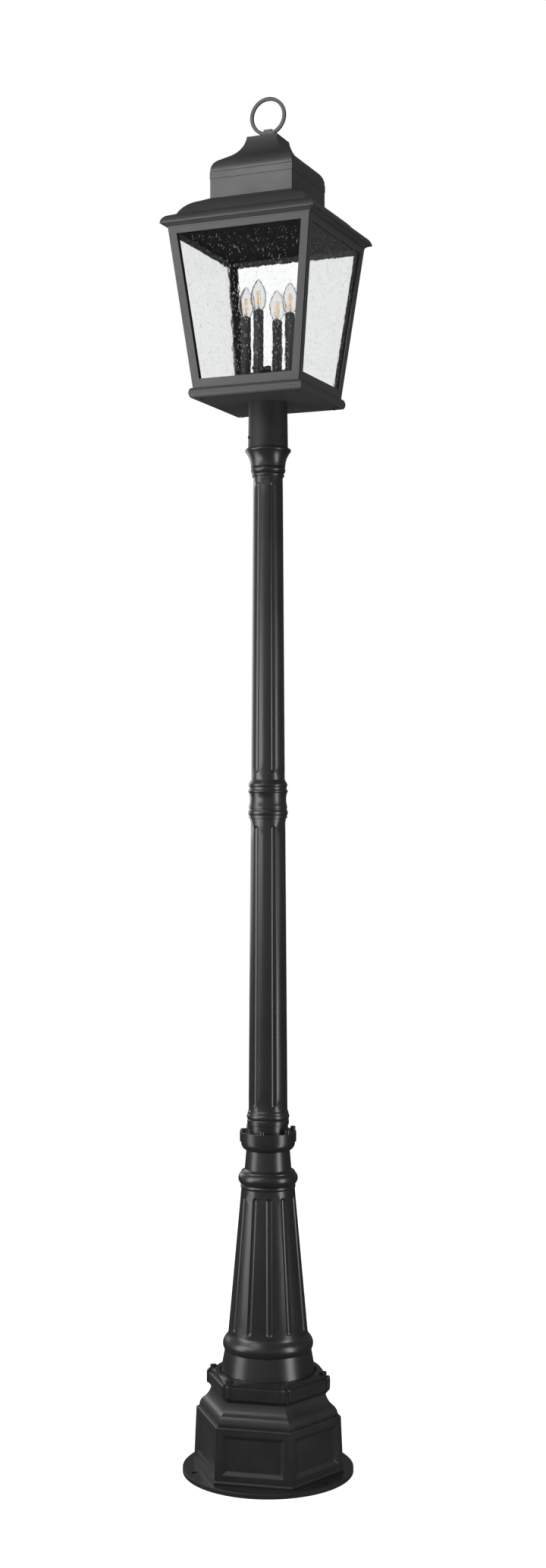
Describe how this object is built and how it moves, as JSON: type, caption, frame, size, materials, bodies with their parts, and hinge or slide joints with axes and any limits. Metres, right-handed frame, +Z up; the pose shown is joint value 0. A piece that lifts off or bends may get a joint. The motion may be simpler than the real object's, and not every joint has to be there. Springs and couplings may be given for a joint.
{
  "type": "post top lantern",
  "caption": "Square outdoor lantern with seeded glass, candle lamps and an ogee cupola, on a fluted garden post with a hexagonal pedestal.",
  "frame": {"origin": "middle of the anchor plate's underside, on the ground", "axes": "+Z up the post; the lantern's faces look along X and Y, its front along -Y"},
  "size_m": [0.363, 0.363, 2.92],
  "materials": {
    "post_black": "satin black powder coat",
    "lantern_black": "fine textured black powder coat",
    "hardware": "blackened",
    "seedy_glass": "clear with seeds",
    "bulb_glass": "clear",
    "filament": "amber phosphor",
    "bulb_cap": "nickel plated",
    "socket": "matte"
  },
  "bodies": {
    "root": {"anchor_plate": "post_black", "pedestal_box": "post_black", "pedestal_cap": "post_black", "base_column": "post_black", "shaft_collar": "post_black", "lower_shaft": "post_black", "shaft_coupling": "post_black", "upper_shaft": "post_black", "capital": "post_black", "post_tenon": "post_black"},
    "head": {"fitter_cup": "lantern_black", "cup_set_screws": "hardware", "base_tray": "lantern_black", "cage_screws": "hardware", "nipple": "hardware", "lock_nut": "hardware", "cluster_hub": "lantern_black", "cluster_arms": "lantern_black", "hub_column": "lantern_black", "candle_brace": "lantern_black", "hub_nut": "lantern_black", "candle_sleeve_1": "lantern_black", "candle_sleeve_2": "lantern_black", "candle_sleeve_3": "lantern_black", "candle_sleeve_4": "lantern_black", "lamp_socket_1": "socket", "lamp_socket_2": "socket", "lamp_socket_3": "socket", "lamp_socket_4": "socket"},
    "bulb_1": {"bulb_1_cap": "bulb_cap", "bulb_1_glass": "bulb_glass", "bulb_1_filaments": "filament"},
    "bulb_2": {"bulb_2_cap": "bulb_cap", "bulb_2_glass": "bulb_glass", "bulb_2_filaments": "filament"},
    "bulb_3": {"bulb_3_cap": "bulb_cap", "bulb_3_glass": "bulb_glass", "bulb_3_filaments": "filament"},
    "bulb_4": {"bulb_4_cap": "bulb_cap", "bulb_4_glass": "bulb_glass", "bulb_4_filaments": "filament"},
    "cage": {"side_frame_front": "lantern_black", "side_frame_right": "lantern_black", "side_frame_back": "lantern_black", "side_frame_left": "lantern_black", "glass_pane_front": "seedy_glass", "glass_pane_right": "seedy_glass", "glass_pane_back": "seedy_glass", "glass_pane_left": "seedy_glass", "corner_posts": "lantern_black", "header_frame": "lantern_black", "ceiling_plate": "lantern_black", "roof_skirt": "lantern_black", "cupola_box": "lantern_black", "cupola_cap": "lantern_black", "finial_ring": "lantern_black", "ring_screw": "hardware"}
  },
  "joints": [
    {"name": "lantern_heading", "type": "hinge", "parent": "root", "child": "head", "pos_m": [0, 0, 2.22], "axis": [0, 0, 1], "continuous": true},
    {"name": "cage_lift", "type": "slide", "parent": "head", "child": "cage", "axis": [0, 0, 1], "range_m": [0, 0.28]},
    {"name": "bulb_1_unscrew", "type": "slide", "parent": "head", "child": "bulb_1", "axis": [0, 0, 1], "range_m": [0, 0.03]},
    {"name": "bulb_2_unscrew", "type": "slide", "parent": "head", "child": "bulb_2", "axis": [0, 0, 1], "range_m": [0, 0.03]},
    {"name": "bulb_3_unscrew", "type": "slide", "parent": "head", "child": "bulb_3", "axis": [0, 0, 1], "range_m": [0, 0.03]},
    {"name": "bulb_4_unscrew", "type": "slide", "parent": "head", "child": "bulb_4", "axis": [0, 0, 1], "range_m": [0, 0.03]}
  ]
}
